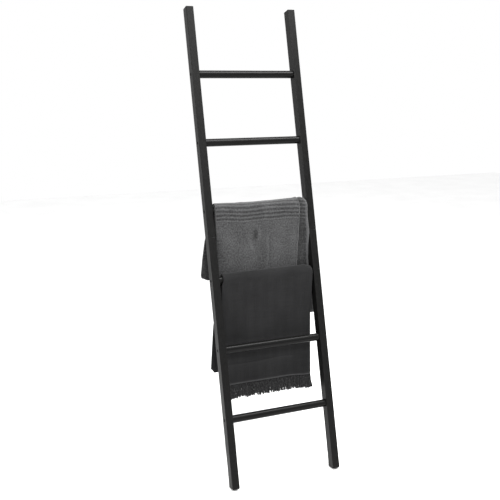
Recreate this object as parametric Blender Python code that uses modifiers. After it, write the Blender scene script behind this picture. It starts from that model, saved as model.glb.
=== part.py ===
"""A leaning blanket ladder with a folded bath towel and a fringed throw on it.

Metres, +Z up. X runs across the ladder and +Y points at the wall it leans on. The origin is on
the floor, under the middle of the ladder. Rungs are numbered from the foot. The ladder is built
upright in its own frame and leans because its pieces hang on a tilted empty; the two cloths hang
straight down from their rungs, as gravity has them.
"""

import math

import bmesh
import bpy
from mathutils import Matrix, Vector

# The ladder
RAIL_LENGTH = 1.800
LADDER_WIDTH = 0.445
RAIL_WIDTH = 0.029
RAIL_DEPTH = 0.038
RAIL_EDGE = 0.0015
LEAN_DEGREES = 15.2
RUNG_COUNT = 6
LOWEST_RUNG_FROM_FOOT = 0.2525
TOP_RUNG_FROM_END = 0.2525
RUNG_DIAMETER = 0.0292
RUNG_CHAMFER = 0.0008
SOCKET_DEPTH = 0.008
GAP = 0.0003

# The screws that hold the rungs
SCREW_DIAMETER = 0.005
SCREW_LENGTH = 0.045
SCREW_TIP = 0.006
SCREW_HEAD_DIAMETER = 0.0092
SCREW_HEAD_HEIGHT = 0.0045
SCREW_KEY_ACROSS = 0.004
SCREW_KEY_DEPTH = 0.0025
SCREW_HEAD_ROOM = 0.00115
SCREW_SHANK_ROOM = 0.0005
SCREW_HEAD_CHAMFER = 0.00045
COUNTERBORE_DEPTH = 0.007

# The joint between the two halves of each rail
SEAM_RUNG = 4
SEAM_BELOW_RUNG = 0.0965
STUD_DIAMETER = 0.008
STUD_LENGTH = 0.060
INSERT_DIAMETER = 0.012
INSERT_LENGTH = 0.025
STUD_CHAMFER = 0.0012
STUD_END_ROOM = 0.002

# The pads under the feet
PAD_THICKNESS = 0.002
PAD_INSET = 0.002
PAD_EDGE = 0.0004

# The cloths
TOWEL_RUNG = 4
TOWEL_FRONT_DROP = 0.441
TOWEL_REAR_DROP = 0.266
TOWEL_REAR_THICKNESS = 0.012
TOWEL_TOP_THICKNESS = 0.015
TOWEL_SIDE_GAP = 0.0065
THROW_RUNG = 3
THROW_FRONT_DROP = 0.4185
THROW_REAR_DROP = 0.372
THROW_THICKNESS = 0.008
THROW_TOP_THICKNESS = 0.011
THROW_SIDE_GAP = 0.006
CLOTH_GAP = 0.002
FRINGE_LENGTH = 0.053
FRINGE_THICKNESS = 0.005
FRINGE_SIDE_INSET = 0.002

# How finely round shapes are divided
RUNG_SEGMENTS = 24
HOLE_SEGMENTS = 24
SCREW_SEGMENTS = 12
STUD_SEGMENTS = 16
DRAPE_SEGMENTS = 16

# How far a cutter starts outside the face that it cuts, past the face's eased edge
CUT_OVERLAP = 0.002

RUNG_SPACING = (RAIL_LENGTH - LOWEST_RUNG_FROM_FOOT - TOP_RUNG_FROM_END) / (RUNG_COUNT - 1)
LEAN = math.radians(LEAN_DEGREES)
RAIL_X = (LADDER_WIDTH - RAIL_WIDTH) / 2
CLEAR_WIDTH = LADDER_WIDTH - 2 * RAIL_WIDTH
PAD_REACH = PAD_THICKNESS + GAP


def rung_height(number):
    """How far up the rail a rung's axis is, along the rail."""
    return LOWEST_RUNG_FROM_FOOT + (number - 1) * RUNG_SPACING


def lean_matrix():
    """Turns the upright ladder to its lean, with its lowest pad edge on the floor and its depth centred."""
    tilt = Matrix.Rotation(-LEAN, 4, "X")
    lowest = tilt @ Vector((0, RAIL_DEPTH / 2 - PAD_INSET - PAD_EDGE, -PAD_REACH))
    front = tilt @ Vector((0, -RAIL_DEPTH / 2, RAIL_EDGE))
    back = tilt @ Vector((0, RAIL_DEPTH / 2, RAIL_LENGTH - RAIL_EDGE))
    return Matrix.Translation((0, -(front.y + back.y) / 2, -lowest.z)) @ tilt


def rung_place(number):
    """Where a rung's axis is once the ladder leans."""
    return lean_matrix() @ Vector((0, 0, rung_height(number)))


def clear_file():
    for old in list(bpy.data.objects):
        bpy.data.objects.remove(old, do_unlink=True)


def collection(name):
    made = bpy.data.collections.new(name)
    bpy.context.scene.collection.children.link(made)
    return made


def finish_material(name, colour, roughness, metallic=0.0):
    made = bpy.data.materials.new(name)
    made.use_nodes = True
    shader = made.node_tree.nodes["Principled BSDF"]
    shader.inputs["Base Color"].default_value = (*colour, 1.0)
    shader.inputs["Roughness"].default_value = roughness
    shader.inputs["Metallic"].default_value = metallic
    made.diffuse_color = (*colour, 1.0)
    return made


clear_file()
PARTS = collection("blanket_ladder")
CUTTERS = collection("cutters")

BLACK_PAINT = finish_material("black_painted_wood", (0.020, 0.020, 0.021), 0.42)
DARK_STEEL = finish_material("blackened_steel", (0.030, 0.030, 0.032), 0.35, 1.0)
ZINC = finish_material("zinc_plated_steel", (0.550, 0.560, 0.580), 0.35, 1.0)
RUBBER = finish_material("pad_rubber", (0.012, 0.012, 0.012), 0.80)
TERRY = finish_material("grey_terry", (0.130, 0.130, 0.134), 0.95)
WEAVE = finish_material("charcoal_weave", (0.032, 0.033, 0.035), 0.90)
YARN = finish_material("charcoal_yarn", (0.026, 0.027, 0.029), 0.90)


def add(name, mesh, material=None, parent=None, where=PARTS):
    made = bpy.data.objects.new(name, mesh)
    where.objects.link(made)
    if material and not mesh.materials:
        mesh.materials.append(material)
    made.parent = parent
    return made


def add_cutter(name, mesh, parent=None):
    made = add(name, mesh, parent=parent, where=CUTTERS)
    made.hide_render = True
    made.display_type = "WIRE"
    return made


def block_mesh(name, size):
    """A box about its own centre."""
    body = bmesh.new()
    bmesh.ops.create_cube(body, size=1.0)
    bmesh.ops.scale(body, vec=Vector(size), verts=body.verts)
    mesh = bpy.data.meshes.new(name)
    body.to_mesh(mesh)
    body.free()
    return mesh


def ease_edges(piece, width, segments=2):
    bevel = piece.modifiers.new("eased edges", "BEVEL")
    bevel.width = width
    bevel.segments = segments
    bevel.limit_method = "ANGLE"
    return piece


def cut(piece, cutter):
    boolean = piece.modifiers.new("cut by " + cutter.name, "BOOLEAN")
    boolean.operation = "DIFFERENCE"
    boolean.solver = "EXACT"
    boolean.object = cutter


def smooth(mesh, sharp_degrees=35):
    mesh.shade_smooth()
    mesh.set_sharp_from_angle(angle=math.radians(sharp_degrees))
    return mesh


def evaluated_mesh(piece, name):
    """The mesh that an object's modifiers make, welded, with the object taken away."""
    seen = piece.evaluated_get(bpy.context.evaluated_depsgraph_get())
    mesh = bpy.data.meshes.new_from_object(seen)
    mesh.name = name
    body = bmesh.new()
    body.from_mesh(mesh)
    bmesh.ops.remove_doubles(body, verts=body.verts, dist=1e-6)
    bmesh.ops.dissolve_degenerate(body, dist=1e-6, edges=body.edges)
    body.to_mesh(mesh)
    body.free()
    bpy.data.objects.remove(piece, do_unlink=True)
    return mesh


def turned_mesh(name, profile, segments, closed=False):
    """A solid of revolution about Z from (radius, height) points that run down its outer side."""
    links = [(i, i + 1) for i in range(len(profile) - 1)]
    if closed:
        links.append((len(profile) - 1, 0))
    outline = bpy.data.meshes.new(name + "_profile")
    outline.from_pydata([(radius, 0, height) for radius, height in profile], links, [])
    piece = add(name + "_turning", outline)
    screw = piece.modifiers.new("turning", "SCREW")
    screw.axis = "Z"
    screw.angle = 2 * math.pi
    screw.steps = segments
    screw.render_steps = segments
    screw.use_merge_vertices = True
    screw.merge_threshold = 1e-6
    return smooth(evaluated_mesh(piece, name))


def across(piece, side):
    """Lays a turned piece's axis along X with its top end facing out of the given side, -1 or +1."""
    piece.rotation_euler = (0, side * math.pi / 2, 0)
    return piece


def rung_mesh():
    """A dowel with a pilot hole for a screw in each end."""
    half = CLEAR_WIDTH / 2 + SOCKET_DEPTH - GAP
    radius = RUNG_DIAMETER / 2
    pilot = SCREW_DIAMETER / 2 + GAP
    head_seat = LADDER_WIDTH / 2 - COUNTERBORE_DEPTH
    bottom = head_seat - SCREW_LENGTH - 2 * GAP
    upper = [
        (0, bottom),
        (pilot, bottom),
        (pilot, half),
        (radius - RUNG_CHAMFER, half),
        (radius, half - RUNG_CHAMFER),
    ]
    lower = [(r, -height) for r, height in reversed(upper)]
    return turned_mesh("rung", upper + lower, RUNG_SEGMENTS)


def screw_mesh():
    """A socket-head wood screw whose head's underside is at height 0."""
    head = SCREW_HEAD_DIAMETER / 2
    shank = SCREW_DIAMETER / 2
    profile = [
        (0, SCREW_HEAD_HEIGHT),
        (head - SCREW_HEAD_CHAMFER, SCREW_HEAD_HEIGHT),
        (head, SCREW_HEAD_HEIGHT - SCREW_HEAD_CHAMFER),
        (head, 0),
        (shank, 0),
        (shank, SCREW_TIP - SCREW_LENGTH),
        (0, -SCREW_LENGTH),
    ]
    body = add("screw_body", turned_mesh("screw_body", profile, SCREW_SEGMENTS))
    corner = SCREW_KEY_ACROSS / 2 / math.cos(math.pi / 6)
    top = SCREW_HEAD_HEIGHT + SCREW_KEY_DEPTH
    bottom = SCREW_HEAD_HEIGHT - SCREW_KEY_DEPTH
    key = [(0, top), (corner, top), (corner, bottom), (0, bottom)]
    cutter = add_cutter("key_cutter", turned_mesh("key_cutter", key, 6))
    cut(body, cutter)
    mesh = evaluated_mesh(body, "rung_screw")
    bpy.data.objects.remove(cutter, do_unlink=True)
    return smooth(mesh)


def rung_seat_mesh():
    """What a rung end takes out of a rail: counterbore, screw hole and socket, from outside in."""
    outside = RAIL_WIDTH / 2
    over = RAIL_EDGE + CUT_OVERLAP
    counterbore = SCREW_HEAD_DIAMETER / 2 + SCREW_HEAD_ROOM
    hole = SCREW_DIAMETER / 2 + SCREW_SHANK_ROOM
    socket = RUNG_DIAMETER / 2 + GAP
    profile = [
        (0, outside + over),
        (counterbore, outside + over),
        (counterbore, outside - COUNTERBORE_DEPTH),
        (hole, outside - COUNTERBORE_DEPTH),
        (hole, SOCKET_DEPTH - outside),
        (socket, SOCKET_DEPTH - outside),
        (socket, -outside - over),
        (0, -outside - over),
    ]
    return turned_mesh("rung_seat", profile, HOLE_SEGMENTS)


def insert_seat_mesh():
    """What the stud joint takes out of a rail's end, with the end at height 0 and the bore below it."""
    over = RAIL_EDGE + CUT_OVERLAP
    insert = INSERT_DIAMETER / 2 + GAP
    stud = STUD_DIAMETER / 2 + 2 * GAP
    shoulder = -(INSERT_LENGTH + 2 * GAP)
    bottom = -(STUD_LENGTH / 2 + STUD_END_ROOM)
    profile = [
        (0, over),
        (insert, over),
        (insert, shoulder),
        (stud, shoulder),
        (stud, bottom),
        (0, bottom),
    ]
    return turned_mesh("insert_seat", profile, HOLE_SEGMENTS)


def stud_mesh():
    radius = STUD_DIAMETER / 2
    end = STUD_LENGTH / 2
    upper = [(0, end), (radius - STUD_CHAMFER, end), (radius, end - STUD_CHAMFER)]
    lower = [(r, -height) for r, height in reversed(upper)]
    return turned_mesh("rail_stud", upper + lower, STUD_SEGMENTS)


def insert_mesh():
    """A threaded sleeve, plain inside, with its mouth at height 0."""
    bore = STUD_DIAMETER / 2 + GAP
    wall = INSERT_DIAMETER / 2
    loop = [(bore, 0), (wall, 0), (wall, -INSERT_LENGTH), (bore, -INSERT_LENGTH)]
    return turned_mesh("threaded_insert", loop, STUD_SEGMENTS, closed=True)


def make_rails(lean):
    """Each rail is two lengths that meet at a seam and are held by a stud in two threaded inserts."""
    seam = rung_height(SEAM_RUNG) - SEAM_BELOW_RUNG
    spans = {"lower": (0, seam - GAP / 2), "upper": (seam + GAP / 2, RAIL_LENGTH)}
    rung_seat = rung_seat_mesh()
    insert_seat = insert_seat_mesh()
    stud = stud_mesh()
    insert = insert_mesh()
    for side, sign in (("left", -1), ("right", 1)):
        for part, (start, end) in spans.items():
            name = f"rail_{side}_{part}"
            size = (RAIL_WIDTH, RAIL_DEPTH, end - start)
            rail = add(name, block_mesh(name, size), BLACK_PAINT, lean)
            rail.location = (sign * RAIL_X, 0, (start + end) / 2)
            ease_edges(rail, RAIL_EDGE)
            for number in range(1, RUNG_COUNT + 1):
                height = rung_height(number)
                if start < height < end:
                    seat = add_cutter(f"{name}_seat_{number}", rung_seat, lean)
                    seat.location = (sign * RAIL_X, 0, height)
                    cut(rail, across(seat, sign))
            meeting = end if part == "lower" else start
            turn = 0 if part == "lower" else math.pi
            bore = add_cutter(f"{name}_insert_seat", insert_seat, lean)
            sleeve = add(f"rail_{side}_{part}_insert", insert, ZINC, lean)
            for piece in (bore, sleeve):
                piece.location = (sign * RAIL_X, 0, meeting)
                piece.rotation_euler = (turn, 0, 0)
            cut(rail, bore)
        add(f"rail_{side}_stud", stud, ZINC, lean).location = (sign * RAIL_X, 0, seam)


def make_rungs(lean):
    dowel = rung_mesh()
    screw = screw_mesh()
    for number in range(1, RUNG_COUNT + 1):
        height = rung_height(number)
        rung = across(add(f"rung_{number}", dowel, BLACK_PAINT, lean), 1)
        rung.location = (0, 0, height)
        for side, sign in (("left", -1), ("right", 1)):
            piece = across(add(f"rung_{number}_screw_{side}", screw, DARK_STEEL, lean), sign)
            seat = LADDER_WIDTH / 2 - COUNTERBORE_DEPTH + GAP
            piece.location = (sign * seat, 0, height)


def make_pads(lean):
    """A thin rubber pad under each foot."""
    size = (RAIL_WIDTH - 2 * PAD_INSET, RAIL_DEPTH - 2 * PAD_INSET, PAD_THICKNESS)
    mesh = block_mesh("foot_pad", size)
    for side, sign in (("left", -1), ("right", 1)):
        pad = add(f"foot_pad_{side}", mesh, RUBBER, lean)
        pad.location = (sign * RAIL_X, 0, -GAP - PAD_THICKNESS / 2)
        ease_edges(pad, PAD_EDGE, segments=1)


def arc(centre, half_width, height, start, end, steps):
    """Points of a stretch of an ellipse, angles from +Y towards +Z."""
    angles = [start + (end - start) * i / steps for i in range(steps + 1)]
    return [
        (centre[0] + half_width * math.cos(a), centre[1] + height * math.sin(a)) for a in angles
    ]


def extruded(name, outline, width, material):
    """A flat outline in the YZ plane, as deep in X as the width."""
    curve = bpy.data.curves.new(name, "CURVE")
    curve.dimensions = "2D"
    curve.fill_mode = "BOTH"
    curve.extrude = width / 2
    path = curve.splines.new("POLY")
    path.points.add(len(outline) - 1)
    for point, (y, z) in zip(path.points, outline):
        point.co = (y, z, 0, 1)
    path.use_cyclic_u = True
    piece = add(name, curve, material)
    piece.rotation_euler = (math.pi / 2, 0, math.pi / 2)
    return piece


def drape_outline(rung, front, rear, top, front_drop, rear_drop):
    """A cloth over a rung, seen from the side: front, rear and top are its thicknesses."""
    inner = RUNG_DIAMETER / 2 + GAP
    y, z = rung.y, rung.z
    quarter = DRAPE_SEGMENTS // 2
    over_front = arc((y, z), inner + front, inner + top, math.pi, math.pi / 2, quarter)
    over_rear = arc((y, z), inner + rear, inner + top, math.pi / 2, 0, quarter)
    under = arc((y, z), inner, inner, 0, math.pi, DRAPE_SEGMENTS)
    return [
        (y - inner - front, z - front_drop),
        *over_front,
        *over_rear[1:],
        (y + inner + rear, z - rear_drop),
        (y + inner, z - rear_drop),
        *under,
        (y - inner, z - front_drop),
    ]


def make_towel():
    """Its doubled front fills the room behind the throw and in front of its own rung."""
    rung = rung_place(TOWEL_RUNG)
    room = rung.y - rung_place(THROW_RUNG).y - 2 * (RUNG_DIAMETER / 2 + GAP)
    front = room - THROW_THICKNESS - CLOTH_GAP
    outline = drape_outline(
        rung, front, TOWEL_REAR_THICKNESS, TOWEL_TOP_THICKNESS, TOWEL_FRONT_DROP, TOWEL_REAR_DROP
    )
    extruded("towel", outline, CLEAR_WIDTH - 2 * TOWEL_SIDE_GAP, TERRY)


def make_throw():
    rung = rung_place(THROW_RUNG)
    width = CLEAR_WIDTH - 2 * THROW_SIDE_GAP
    outline = drape_outline(
        rung, THROW_THICKNESS, THROW_THICKNESS, THROW_TOP_THICKNESS, THROW_FRONT_DROP, THROW_REAR_DROP
    )
    extruded("throw", outline, width, WEAVE)
    fringe_size = (width - 2 * FRINGE_SIDE_INSET, FRINGE_THICKNESS, FRINGE_LENGTH)
    fringe = add("throw_fringe", block_mesh("throw_fringe", fringe_size), YARN)
    middle = RUNG_DIAMETER / 2 + GAP + THROW_THICKNESS / 2
    height = rung.z - THROW_FRONT_DROP - GAP - FRINGE_LENGTH / 2
    fringe.location = (0, rung.y - middle, height)


def make_ladder():
    lean = bpy.data.objects.new("lean", None)
    PARTS.objects.link(lean)
    lean.matrix_world = lean_matrix()
    make_rails(lean)
    make_rungs(lean)
    make_pads(lean)


make_ladder()
make_towel()
make_throw()
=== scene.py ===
# %% [markdown]
# # A leaning blanket ladder with a towel and a throw
#
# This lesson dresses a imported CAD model. The ladder's wooden rails and its hidden fittings come
# from the model as they are. Everything that a maker would weave, knot, turn in numbers or screw
# in by the dozen is made here: two folded cloths, a fringe, six rungs and twelve screws.
#
# All lengths are in metres. X runs across the ladder, Y points at the wall that it leans on, and
# Z is up.

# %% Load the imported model
import math

import bmesh
import bpy
import numpy as np
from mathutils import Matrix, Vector


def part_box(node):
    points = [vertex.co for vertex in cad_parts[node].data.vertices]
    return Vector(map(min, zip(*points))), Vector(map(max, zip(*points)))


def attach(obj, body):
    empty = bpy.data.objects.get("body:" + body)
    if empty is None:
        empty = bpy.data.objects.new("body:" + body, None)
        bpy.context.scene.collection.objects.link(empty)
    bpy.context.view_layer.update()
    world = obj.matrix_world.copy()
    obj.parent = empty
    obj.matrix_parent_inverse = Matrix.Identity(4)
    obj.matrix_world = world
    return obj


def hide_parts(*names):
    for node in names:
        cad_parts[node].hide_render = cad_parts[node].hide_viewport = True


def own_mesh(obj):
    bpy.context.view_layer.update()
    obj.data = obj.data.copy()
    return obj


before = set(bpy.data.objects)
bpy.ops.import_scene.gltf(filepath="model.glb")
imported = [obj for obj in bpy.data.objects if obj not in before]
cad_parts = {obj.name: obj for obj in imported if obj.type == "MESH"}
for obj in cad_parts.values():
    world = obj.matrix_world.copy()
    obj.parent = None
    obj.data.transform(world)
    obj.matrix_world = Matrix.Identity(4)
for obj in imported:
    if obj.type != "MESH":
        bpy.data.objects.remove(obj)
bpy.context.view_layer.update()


# %% [markdown]
# ## The camera
#
# A camera placed by hand wanders, so its numbers are written down, in metres, degrees and
# millimetres: where it stands, which way it looks, and its lens. It stands 1.5 m up, to the left
# of the ladder, and looks a little down. The tones are shown without a film look, because a dark
# object on white needs none.

# %% Place the camera
CAMERA_PLACE = (-1.0617, -2.5274, 1.4870)
CAMERA_TURN = 21.766
CAMERA_DOWN = 13.213
CAMERA_LENS = 52.78
CAMERA_SENSOR = 36.0

scene = bpy.context.scene
camera_data = bpy.data.cameras.new("camera")
camera_data.lens = CAMERA_LENS
camera_data.sensor_width = CAMERA_SENSOR
camera = bpy.data.objects.new("camera", camera_data)
camera.location = CAMERA_PLACE
camera.rotation_euler = (math.radians(90 - CAMERA_DOWN), 0, math.radians(-CAMERA_TURN))
scene.collection.objects.link(camera)
scene.camera = camera
scene.view_settings.view_transform = "Standard"
print("camera at", CAMERA_PLACE, "with a lens of", CAMERA_LENS, "mm")

# %% [markdown]
# ## A plain studio
#
# A white room gives every surface something to reflect. One large soft lamp on the left and one
# overhead give the round rungs their bright line and the cloth its soft shading, and a third in
# front throws the second rung's shadow on the throw. The floor is the stage: it isn't part of
# the object.

# %% Build the studio
ROOM_BRIGHTNESS = 1.0
FLOOR_SIZE = 14.0

# Each lamp's place, the point that it faces, its width and height, and its power in watts
LAMPS = {
    "left_lamp": ((-3.2, -1.2, 2.3), (0, 0, 0.9), (1.2, 1.2), 80),
    "top_lamp": ((0.80, -0.60, 3.2), (0.80, -0.15, 0.5), (1.4, 1.1), 115),
    "front_lamp": ((-0.6, -3.0, 3.1), (0, -0.1, 0.6), (0.9, 0.6), 130),
}


def soft_lamp(name, place, target, size, power):
    """A lamp that faces a target, with a width and a height."""
    data = bpy.data.lights.new(name, "AREA")
    data.shape = "RECTANGLE"
    data.size, data.size_y = size
    data.energy = power
    lamp = bpy.data.objects.new(name, data)
    lamp.location = place
    aim = Vector(target) - Vector(place)
    lamp.rotation_euler = aim.to_track_quat("-Z", "Y").to_euler()
    scene.collection.objects.link(lamp)


world = bpy.data.worlds.new("white_room")
world.use_nodes = True
room = world.node_tree.nodes["Background"].inputs
room["Color"].default_value = (1, 1, 1, 1)
room["Strength"].default_value = ROOM_BRIGHTNESS
scene.world = world

for name, numbers in LAMPS.items():
    soft_lamp(name, *numbers)

half = FLOOR_SIZE / 2
floor_mesh = bpy.data.meshes.new("floor")
floor_mesh.from_pydata(
    [(-half, -half, 0), (half, -half, 0), (half, half, 0), (-half, half, 0)], [], [(0, 1, 2, 3)]
)
floor = bpy.data.objects.new("floor", floor_mesh)
scene.collection.objects.link(floor)
print(len(LAMPS), "lamps and a floor", FLOOR_SIZE, "m wide")


# %% [markdown]
# ## Building materials from nodes
#
# A material is a small graph. These helpers keep the graphs short: one starts a material with its
# shader's plain numbers set, one adds a node and joins its inputs, and the rest add one common
# node each. Numbers that are the same all over the surface stay on the shader itself.

# %% Helpers for material graphs
CLOTH_MAP = "cloth"
PAINTED_LIGHT_NAME = "painted_light"


def start_material(name, **plain):
    """A material whose shader has these plain values, such as Roughness=0.5."""
    made = bpy.data.materials.new(name)
    made.use_nodes = True
    shader = made.node_tree.nodes["Principled BSDF"]
    for key, value in plain.items():
        shader.inputs[key.replace("_", " ")].default_value = value
    return made, made.node_tree, shader


def node(tree, kind, settings=(), **joined):
    """A node of a kind, with its settings, and with its inputs joined or set by name."""
    made = tree.nodes.new(kind)
    for key, value in dict(settings).items():
        setattr(made, key, value)
    for key, value in joined.items():
        socket = made.inputs[int(key[1:])] if key[0] == "_" else made.inputs[key.replace("_", " ")]
        if isinstance(value, bpy.types.NodeSocket):
            tree.links.new(value, socket)
        else:
            socket.default_value = value
    return made


def calc(tree, operation, a, b=0.0, c=0.0):
    """One step of arithmetic on the graph."""
    return node(tree, "ShaderNodeMath", {"operation": operation}, _0=a, _1=b, _2=c).outputs[0]


def ramp(tree, value, stops):
    """A colour ramp from (place, grey or colour) stops."""
    made = node(tree, "ShaderNodeValToRGB", Fac=value)
    steps = made.color_ramp.elements
    while len(steps) < len(stops):
        steps.new(0.5)
    for step, (place, colour) in zip(steps, stops):
        step.position = place
        step.color = (*colour, 1) if hasattr(colour, "__len__") else (colour, colour, colour, 1)
    return made.outputs["Color"]


# %% Patterns and places for materials
def noise(tree, vector, scale, detail=2.0, roughness=0.5):
    """Soft random clouds."""
    return node(
        tree, "ShaderNodeTexNoise", Vector=vector, Scale=scale, Detail=detail, Roughness=roughness
    ).outputs["Fac"]


def bump(tree, height, distance, strength=1.0):
    """Light and shade for a height, without moving the surface."""
    made = node(tree, "ShaderNodeBump", Height=height, Distance=distance, Strength=strength)
    return made.outputs["Normal"]


def object_place(tree, scale=(1, 1, 1), turn=(0, 0, 0)):
    """Places on the object, in metres, turned and stretched."""
    where = node(tree, "ShaderNodeTexCoord").outputs["Object"]
    return node(tree, "ShaderNodeMapping", Vector=where, Rotation=turn, Scale=scale).outputs[0]


def cloth_place(tree, scale):
    """Places on the flat cloth, in metres across and along it."""
    where = node(tree, "ShaderNodeUVMap", {"uv_map": CLOTH_MAP}).outputs["UV"]
    return node(tree, "ShaderNodeMapping", Vector=where, Scale=scale).outputs[0]


def with_painted_light(tree, tone, strength):
    """A tone with the cloth's painted light and shade: lighter above 0.5 and darker below it."""
    # Painted light and shade, read from the mesh's attribute
    painted_light = node(tree, "ShaderNodeAttribute", {"attribute_name": PAINTED_LIGHT_NAME}).outputs["Fac"]
    return calc(tree, "MULTIPLY_ADD", calc(tree, "SUBTRACT", painted_light, 0.5), strength, tone)


# %% Finish the floor
FLOOR_DARK, FLOOR_LIGHT = 0.88, 0.92

pale_floor, tree, shader = start_material("pale_floor", Roughness=0.9)
tone = noise(tree, object_place(tree), 3.0, 4.0)
floor_tone = ramp(tree, tone, [(0.3, FLOOR_DARK), (0.7, FLOOR_LIGHT)])
tree.links.new(floor_tone, shader.inputs["Base Color"])
floor.data.materials.append(pale_floor)
print("floor tones", FLOOR_DARK, "to", FLOOR_LIGHT)

# %% [markdown]
# ## Black painted wood
#
# The ladder is open-grained wood under a thin black paint. Paint hides the wood's colour but not
# its grain: long fine furrows run along each stick, and the paint is a little shinier between
# them. A noise that is stretched along the stick gives both. The rails lean, so their pattern is
# turned to the rails' own direction, and the rungs get one that runs across.

# %% Mix the black paint
LEAN_DEGREES = 15.2
PAINT_DARK = (0.0016, 0.0016, 0.0015)
PAINT_LIGHT = (0.0052, 0.0051, 0.0050)
PATCHES_PER_METRE = 9


def black_paint(name, scale, turn, gloss, rough, depth):
    """Black satin paint on wood whose grain runs along the axis with the small scale."""
    made, tree, shader = start_material(name, Specular_IOR_Level=gloss)
    place = object_place(tree, scale, turn)
    furrows = noise(tree, place, 1.0, 6.0, 0.62)
    patches = noise(tree, object_place(tree, (PATCHES_PER_METRE,) * 3), 1.0, 3.0)
    colour = ramp(tree, furrows, [(0.30, PAINT_DARK), (0.72, PAINT_LIGHT)])
    tree.links.new(colour, shader.inputs["Base Color"])
    shine = calc(tree, "MULTIPLY_ADD", furrows, 0.06, rough)
    shine = calc(tree, "MULTIPLY_ADD", patches, 0.04, shine)
    tree.links.new(shine, shader.inputs["Roughness"])
    pores = noise(tree, place, 2.6, 2.0)
    cut = calc(tree, "MULTIPLY_ADD", pores, 0.4, furrows)
    tree.links.new(bump(tree, cut, 0.0006, depth), shader.inputs["Normal"])
    return made


leaning = (math.radians(-LEAN_DEGREES), 0, 0)
rail_paint = black_paint("rail_paint", (260, 260, 7), leaning, 0.095, 0.38, 0.45)
rung_paint = black_paint("rung_paint", (3, 300, 300), (0, 0, 0), 0.085, 0.27, 0.05)
print("mixed", rail_paint.name, "and", rung_paint.name)

# %% [markdown]
# ## Metal and rubber
#
# The screws are blackened steel, the studs and threaded inserts inside the rails are zinc plated,
# and the pads under the feet are rubber. They are small or hidden, but each has a finish with
# some life: a fine grain makes the metals uneven in shine, and the rubber dull and mottled.


# %% Make the small finishes
def speckled(name, dark, light, rough, metallic, scale, depth):
    """A finish with a fine grain in its tone, its gloss and its surface."""
    made, tree, shader = start_material(name, Metallic=metallic)
    grain = noise(tree, object_place(tree, (scale, scale, scale)), 1.0, 4.0)
    tree.links.new(ramp(tree, grain, [(0.35, dark), (0.65, light)]), shader.inputs["Base Color"])
    tree.links.new(calc(tree, "MULTIPLY_ADD", grain, 0.2, rough), shader.inputs["Roughness"])
    tree.links.new(bump(tree, grain, depth), shader.inputs["Normal"])
    return made


screw_steel = speckled("screw_steel", 0.018, 0.034, 0.28, 1.0, 900, 0.00003)
zinc_plate = speckled("zinc_plate", 0.30, 0.44, 0.30, 1.0, 700, 0.00003)
pad_rubber = speckled("pad_rubber", 0.010, 0.018, 0.70, 0.0, 1200, 0.00008)
print("mixed", screw_steel.name, zinc_plate.name, "and", pad_rubber.name)

# %% [markdown]
# ## Dress the model's own parts
#
# The rails, studs, inserts and pads already have their true shapes, so they only get a finish.

# %% Give the kept parts their finishes
finish_of = {}
for side in ("left", "right"):
    finish_of[f"foot_pad_{side}"] = pad_rubber
    finish_of[f"rail_{side}_stud"] = zinc_plate
    for length in ("lower", "upper"):
        finish_of[f"rail_{side}_{length}"] = rail_paint
        finish_of[f"rail_{side}_{length}_insert"] = zinc_plate
for name, finish in finish_of.items():
    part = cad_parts[name]
    part.data.materials.clear()
    part.data.materials.append(finish)
print(len(finish_of), "model parts dressed")

# %% [markdown]
# ## Rungs by rule
#
# Six equal dowels climb the rails at equal steps. A thing that repeats is best made once and
# placed by rule, so a Geometry Nodes tree turns one dowel and sets it on every step. The step is
# measured between the model's lowest and highest rung.


# %% Helpers for Geometry Nodes trees
SOCKET_KINDS = {int: "Int", float: "Float", Vector: "Vector", bpy.types.Material: "Material"}
CREASE_DEGREES = 40


def start_tree(name, sizes):
    """A tree whose named inputs start at these sizes, and its group input and output."""
    made = bpy.data.node_groups.new(name, "GeometryNodeTree")
    for key, value in sizes.items():
        kind = SOCKET_KINDS[type(value)]
        socket = made.interface.new_socket(key, in_out="INPUT", socket_type="NodeSocket" + kind)
        if kind != "Material":
            socket.default_value = value
    made.interface.new_socket("Geometry", in_out="OUTPUT", socket_type="NodeSocketGeometry")
    return made, made.nodes.new("NodeGroupInput").outputs, made.nodes.new("NodeGroupOutput")


def finish_tree(tree, shape, material, output):
    """Real geometry with its material, because instances aren't kept outside Blender."""
    real = node(tree, "GeometryNodeRealizeInstances", Geometry=shape).outputs[0]
    done = node(tree, "GeometryNodeSetMaterial", Geometry=real, Material=material).outputs[0]
    tree.links.new(done, output.inputs[0])


def grow(name, tree, sizes, crease=CREASE_DEGREES):
    """Runs a tree with these sizes and keeps the result as a plain mesh.

    Edges that bend by more than the crease, in degrees, stay sharp."""
    holder = bpy.data.objects.new(name, bpy.data.meshes.new(name + "_start"))
    scene.collection.objects.link(holder)
    modifier = holder.modifiers.new(name, "NODES")
    modifier.node_group = tree
    for item in tree.interface.items_tree:
        if item.item_type == "SOCKET" and item.in_out == "INPUT":
            modifier[item.identifier] = sizes[item.name]
    graph = bpy.context.evaluated_depsgraph_get()
    mesh = bpy.data.meshes.new_from_object(holder.evaluated_get(graph))
    mesh.name = name
    mesh.shade_smooth()
    mesh.set_sharp_from_angle(angle=math.radians(crease))
    holder.modifiers.remove(modifier)
    holder.data = mesh
    print(name, len(mesh.polygons), "faces")
    return holder


# %% Short names for common nodes
def vector_of(tree, x=0.0, y=0.0, z=0.0):
    """A vector from its parts."""
    return node(tree, "ShaderNodeCombineXYZ", X=x, Y=y, Z=z).outputs[0]


def vector_calc(tree, operation, a, b):
    """One step of arithmetic on vectors."""
    return node(tree, "ShaderNodeVectorMath", {"operation": operation}, _0=a, _1=b).outputs[0]


def points_in_row(tree, count, first, step):
    """Points at equal steps from the first."""
    return node(
        tree, "GeometryNodeMeshLine", Count=count, Start_Location=first, Offset=step
    ).outputs[0]


def move(tree, shape, **how):
    """A shape that is moved, turned or scaled."""
    return node(tree, "GeometryNodeTransform", Geometry=shape, **how).outputs[0]


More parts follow.
